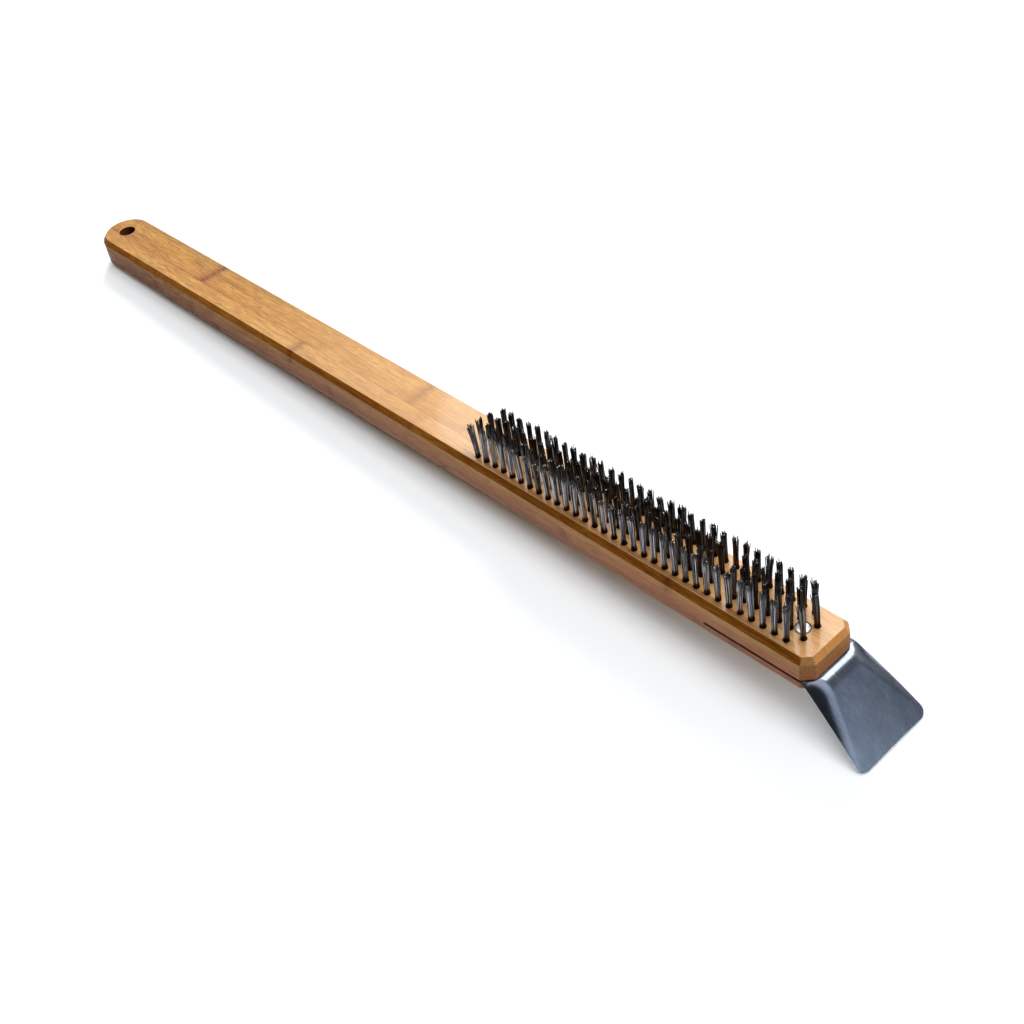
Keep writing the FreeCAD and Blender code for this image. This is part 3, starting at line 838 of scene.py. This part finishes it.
for r_i, (node, tufts) in enumerate(ROWS.items()):
    rng = random.Random(900 + r_i)
    parts = []
    first = min(t[0] for t in tufts)
    for cx, cy, foot, top in tufts:
        lean_x, lean_y = rng.gauss(0.0, 0.45), rng.gauss(0.0, 0.35)
        dh = rng.gauss(0.0, 0.45)
        splay = rng.uniform(1.00, 1.25)
        split = rng.random() < 0.30
        split_a = rng.uniform(0, 2 * math.pi)
        squash = rng.uniform(0.86, 1.0)
        squash_a = rng.uniform(0, math.pi)
        loose = 0
        if node == "bristle_row_1" and cx == first:
            lean_x, splay, loose = -2.0, 1.45, 5
        if node == "bristle_end_pair" and cy > 0:
            loose = 2
        if rng.random() < 0.10:
            loose = max(loose, 1)
        n_w = WIRES + rng.randint(-2, 2)
        for w in range(n_w):
            rad = 1.42 * math.sqrt((w + 0.5) / n_w)
            ang = w * 2.39996 + rng.uniform(-0.25, 0.25)
            bx, by = rad * math.cos(ang), rad * math.sin(ang)
            bx += rng.uniform(-0.08, 0.08)
            by += rng.uniform(-0.08, 0.08)
            fx = bx
            if abs(fx) < 0.42:
                fx = math.copysign(0.42, fx if fx else 1.0)
            # flattened a little, as a bundle pushed in by a blade is
            ca, sa = math.cos(squash_a), math.sin(squash_a)
            u, v = bx * ca + by * sa, -bx * sa + by * ca
            v *= squash
            qx, qy = u * ca - v * sa, u * sa + v * ca
            tx, ty = qx * splay, qy * splay
            if split:
                side = math.copysign(1.0, qx * math.cos(split_a) + qy * math.sin(split_a))
                tx += side * 0.42 * math.cos(split_a)
                ty += side * 0.42 * math.sin(split_a)
            tx += lean_x + rng.gauss(0, 0.20)
            ty += lean_y + rng.gauss(0, 0.20)
            if rng.random() < 0.12:
                tx += rng.gauss(0, 0.6)
                ty += rng.gauss(0, 0.6)
            z1 = top + dh + rng.gauss(-0.2, 0.55) + (rng.uniform(0.4, 1.4) if rng.random() < 0.15 else 0.0)
            if w < loose:
                tx += (-1.0 if lean_x < -1 else 1.0) * rng.uniform(1.2, 2.6)
                ty += rng.uniform(-0.9, 0.9)
                z1 -= rng.uniform(0.0, 2.5)
            kx, ky = rng.gauss(0, 0.10), rng.gauss(0, 0.10)
            bow = rng.uniform(1.2, 2.0)
            path = []
            z_low = foot + 0.12
            z_face = HALF_T
            path.append((cx + fx, cy + by, z_low))
            path.append((cx + qx, cy + qy, z_face - 1.0))
            for k in range(1, STEPS):
                s = k / (STEPS - 1.0)
                b = s ** bow
                wob = math.sin(s * math.pi)
                path.append((cx + qx + (tx - qx) * b + kx * wob, cy + qy + (ty - qy) * b + ky * wob, z_face - 1.0 + (z1 - z_face + 1.0) * s))
            parts.append(wire(path, WIRE_R * rng.uniform(0.9, 1.1), rng))
    ob = make(node + "_wires", *join(parts))
    ob.data.materials.append(wire_metal("wire_" + node, sorted(t[3] for t in tufts)[len(tufts) // 2]))
    shade(ob, 50, weighted=False)
    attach(ob, "root")
    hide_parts(node)

anchor_mat = anchor_metal("anchor_wire_metal")
for name, ob in frame["nodes"].items():
    if name.startswith("anchors"):
        if ob.data.materials:
            for i in range(len(ob.data.materials)):
                ob.data.materials[i] = anchor_mat
        else:
            ob.data.materials.append(anchor_mat)


# ------------------------------------------------------------------ floor, light, camera
tail_x, tail_z = cad_lo.x * 1000 + 2.6, -HALF_T
tip_x, tip_z = X_EDGE - T * math.sin(SLOPE), cad_lo.z * 1000
tilt = math.atan2(tip_z - tail_z, tip_x - tail_x)
floor_n = Vector((-math.sin(tilt), 0, math.cos(tilt)))
centre = Vector(((tail_x + tip_x) / 2, 0, (tail_z + tip_z) / 2)) * MM - floor_n * 0.0002
S = 4.0
along = Vector((math.cos(tilt), 0, math.sin(tilt)))
side = Vector((0, 1, 0))
me = bpy.data.meshes.new("floor")
me.from_pydata([centre + along * sx * S + side * sy * S for sx, sy in ((-1, -1), (1, -1), (1, 1), (-1, 1))], [], [(0, 1, 2, 3)])
floor = bpy.data.objects.new("floor", me)
scene.collection.objects.link(floor)
t = Tree("floor_paper")
grain = t.noise(t.mm(), 0.02, 3.0, 0.5)
path = t.add("ShaderNodeLightPath")
dif = t.add("ShaderNodeBsdfPrincipled")
seen = t.mix(grain, (0.865, 0.895, 0.912), (0.89, 0.915, 0.93))
t.put(dif.inputs["Base Color"], t.mix(path.outputs["Is Diffuse Ray"], seen, (0.40, 0.415, 0.43)))
t.put(dif.inputs["Roughness"], 0.9)
t.put(dif.inputs["Specular IOR Level"], 0.0)
t.put(dif.inputs["Emission Color"], (1.0, 1.0, 1.0, 1.0))
# painted light: the floor glows for camera rays only, a little at the tail end to lighten the shadow there and more
# further from the brush to keep the ground white
fx = t.sep(t.mm())[0]
glow = t.plus(t.remap(fx, 0.0, 300.0, 0.035, 0.0, "LINEAR"), t.remap(fx, 10.0, -40.0, 0.0, 0.08))
fpos = t.vmath("SUBTRACT", t.mm(), (320.0, 0.0, 0.0))
glow = t.plus(glow, t.remap(t.vmath("LENGTH", t.vmath("MULTIPLY", fpos, (0.35, 1.0, 1.0))), 60.0, 400.0, 0.0, 0.66))
glow = t.plus(glow, t.remap(t.vmath("LENGTH", fpos), 500.0, 1700.0, 0.0, 0.35))
t.put(dif.inputs["Emission Strength"], t.plus(0.01, t.mul(glow, path.outputs["Is Camera Ray"])))
clear = t.add("ShaderNodeBsdfTransparent")
pick = t.add("ShaderNodeMixShader")
t.put(pick.inputs[0], t.add("ShaderNodeNewGeometry").outputs["Backfacing"])
t.links.new(dif.outputs[0], pick.inputs[1])
t.links.new(clear.outputs[0], pick.inputs[2])
out = t.add("ShaderNodeOutputMaterial")
t.links.new(pick.outputs[0], out.inputs[0])
me.materials.append(t.mat)


def soft(name, place, aim, size, power, colour=(1, 1, 1)):
    d = bpy.data.lights.new(name, "AREA")
    d.shape = "RECTANGLE"
    d.size, d.size_y = size
    d.energy = power
    d.color = colour
    o = bpy.data.objects.new(name, d)
    scene.collection.objects.link(o)
    o.location = place
    o.rotation_euler = (Vector(aim) - Vector(place)).to_track_quat("-Z", "Y").to_euler()
    o.visible_camera = False
    return o


key = soft("key", (0.40, 0.42, 1.20), (0.40, 0.06, 0.0), (1.20, 0.90), 23.5)
key.visible_glossy = False
overhead = soft("overhead", (0.60, -0.15, 1.20), (0.60, 0.0, 0.0), (1.20, 1.15), 16.0)
behind = soft("behind", (-0.50, 0.80, 0.80), (0.15, 0.0, 0.0), (0.50, 0.50), 15.0)
behind.visible_glossy = False
overhead.visible_glossy = False
sheen = soft("sheen", (0.205, 0.64, 0.90), (0.45, 0.0, 0.0), (1.35, 0.70), 6.8)
sheen.visible_diffuse = False
# the key is flagged onto the brush and the overhead light onto the floor
lit = bpy.data.collections.new("lit_by_key")
for ob in scene.objects:
    if ob.type == "MESH" and ob is not floor:
        lit.objects.link(ob)
ground = bpy.data.collections.new("lit_overhead")
ground.objects.link(floor)
key.light_linking.receiver_collection = lit
overhead.light_linking.receiver_collection = ground
behind.light_linking.receiver_collection = ground

world = bpy.data.worlds.new("studio")
scene.world = world
world.use_nodes = True
wt = Tree.__new__(Tree)
wt.nodes, wt.links = world.node_tree.nodes, world.node_tree.links
wt.nodes.clear()
dirv = wt.add("ShaderNodeTexCoord").outputs["Generated"]
dx, dy, dz = wt.sep(dirv)
up = wt.ramp(dz, [(0.0, (0.12,) * 3), (0.10, (0.14,) * 3), (0.42, (0.36,) * 3), (0.63, (0.68,) * 3), (0.9, (0.95,) * 3)])
far = wt.remap(dy, -0.30, 0.06, 0.06, 1.0)
env = wt.mul(wt.sep(up)[0], far)
# past the soft box the studio goes dark, which is what the outer half of the fold mirrors
shy = wt.mul(wt.mul(wt.remap(dx, 0.22, 0.34), wt.remap(dz, 0.44, 0.62)), wt.remap(dy, 0.26, 0.44))
across = wt.mul(wt.remap(dx, 0.45, 0.60), wt.remap(dz, 0.70, 0.56))
grade = wt.mul(wt.remap(dy, 0.34, 0.68, 1.70, 0.42), wt.remap(dy, 0.0, 0.33, 0.45, 1.0))
slope_sky = wt.mul(env, wt.plus(1.0, wt.mul(across, wt.plus(grade, -1.0))))
dull = wt.mix(shy, wt.vec(slope_sky, slope_sky, slope_sky), (0.20, 0.20, 0.20))
is_gloss = wt.add("ShaderNodeLightPath").outputs["Is Glossy Ray"]
half = wt.mul(env, 0.55)
env = wt.sep(wt.mix(is_gloss, wt.vec(half, half, half), dull))[0]
tintw = wt.mix(wt.remap(dx, 0.2, 0.8), (1.0, 1.0, 1.0), (0.84, 0.93, 1.06))
strength = wt.math("MULTIPLY", env, 1.0)
bg1 = wt.add("ShaderNodeBackground")
wt.put(bg1.inputs[0], tintw)
wt.put(bg1.inputs[1], strength)
bg2 = wt.add("ShaderNodeBackground")
wt.put(bg2.inputs[0], (1.0, 1.0, 1.0, 1.0))
wt.put(bg2.inputs[1], 1.0)
mixw = wt.add("ShaderNodeMixShader")
wt.put(mixw.inputs[0], wt.add("ShaderNodeLightPath").outputs["Is Camera Ray"])
wt.links.new(bg1.outputs[0], mixw.inputs[1])
wt.links.new(bg2.outputs[0], mixw.inputs[2])
outw = wt.add("ShaderNodeOutputWorld")
wt.links.new(mixw.outputs[0], outw.inputs[0])

scene.view_settings.view_transform = "Standard"
scene.view_settings.look = "None"
scene.view_settings.exposure = 0.0
scene.view_settings.gamma = 1.0

cam_data = bpy.data.cameras.new("camera")
cam_data.sensor_width = 36.0
cam_data.lens = 52.56
cam_data.clip_start, cam_data.clip_end = 0.01, 50.0
cam = bpy.data.objects.new("camera", cam_data)
scene.collection.objects.link(cam)
right_v = Vector((0.68024757, 0.71961911, -0.13932544))
down_v = Vector((0.42076063, -0.53901253, -0.72967526))
fwd_v = Vector((-0.60018642, 0.43773716, -0.66944935))
cam.matrix_world = Matrix((
    (right_v.x, -down_v.x, -fwd_v.x, 0.916347),
    (right_v.y, -down_v.y, -fwd_v.y, -0.379532),
    (right_v.z, -down_v.z, -fwd_v.z, 0.543423),
    (0, 0, 0, 1)))
scene.camera = cam
